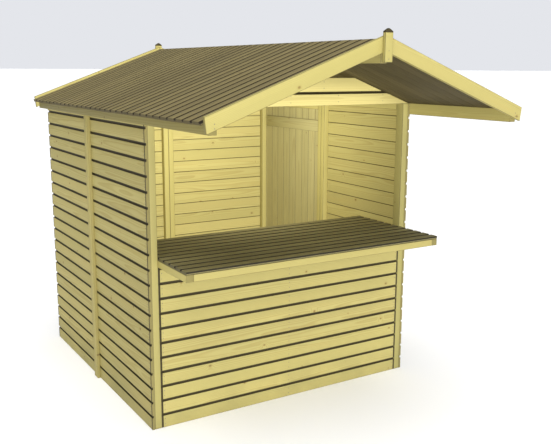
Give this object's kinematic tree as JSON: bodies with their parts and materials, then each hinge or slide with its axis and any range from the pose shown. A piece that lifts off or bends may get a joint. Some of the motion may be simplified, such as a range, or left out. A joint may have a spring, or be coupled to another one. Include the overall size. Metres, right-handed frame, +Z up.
{
  "type": "wooden market stall",
  "caption": "Open-fronted wooden stall with board walls, a serving counter, a gable roof that reaches far over the counter, and a hinged side door.",
  "frame": {"origin": "centre of the whole stall's plan box at ground level", "axes": "+Z up, -Y towards the serving side under the deep roof overhang, +X towards the side with the door; the ridge runs along Y"},
  "size_m": [2.206, 3.1, 2.4477],
  "materials": {
    "wall_timber": "pale yellow-green treated softwood boards, sawn faces, unpainted",
    "front_timber": "pale yellow treated softwood, planed, unpainted",
    "frame_timber": "pale treated softwood battens, planed, unpainted",
    "roof_boards": "grey-brown treated softwood roof boards, sawn faces",
    "trim_timber": "pale yellow treated softwood trim boards, planed",
    "counter_timber": "pale treated softwood boards, planed, worn by use",
    "door_timber": "pale yellow-green treated softwood boards and ledges",
    "hinge_steel": "black painted steel, satin"
  },
  "bodies": {
    "stall": {"left_wall_front_panel": "wall_timber", "left_wall_back_panel": "wall_timber", "right_wall_front_panel": "wall_timber", "right_wall_corner_board": "wall_timber", "over_door_board": "wall_timber", "back_wall_left_panel": "wall_timber", "back_wall_right_panel": "wall_timber", "front_wall_panel": "front_timber", "front_gable_lower_board": "front_timber", "front_gable_upper_board": "front_timber", "back_gable_lower_board": "front_timber", "back_gable_upper_board": "front_timber", "front_post_left": "front_timber", "front_post_right": "front_timber", "back_corner_stiles": "frame_timber", "left_mid_stiles": "frame_timber", "right_mid_stiles": "frame_timber", "back_mid_stiles": "frame_timber", "bottom_plates": "frame_timber", "side_top_plates": "frame_timber", "back_top_plate": "frame_timber", "front_tie_beam": "frame_timber", "back_tie_beam": "frame_timber", "king_posts": "frame_timber", "ridge_beam": "frame_timber", "purlin_left": "frame_timber", "purlin_right": "frame_timber", "roof_left": "roof_boards", "roof_right": "roof_boards", "front_bargeboards": "trim_timber", "back_bargeboards": "trim_timber", "front_finial": "trim_timber", "back_finial": "trim_timber", "cover_strips": "frame_timber", "counter_top": "counter_timber", "counter_bearers": "counter_timber", "counter_rails": "counter_timber", "front_wall_rails": "frame_timber", "front_wall_stiles": "frame_timber", "door_head": "frame_timber", "door_hinge_plates": "hinge_steel"},
    "door": {"door_boards": "door_timber", "door_ledges": "door_timber", "door_hinge_straps": "hinge_steel", "door_knob": "hinge_steel"}
  },
  "joints": [
    {"name": "door_hinge", "type": "hinge", "parent": "stall", "child": "door", "pos_m": [1.02, 1.3695, 0], "axis": [0, 0, 1], "range_deg": [0, 110]}
  ]
}
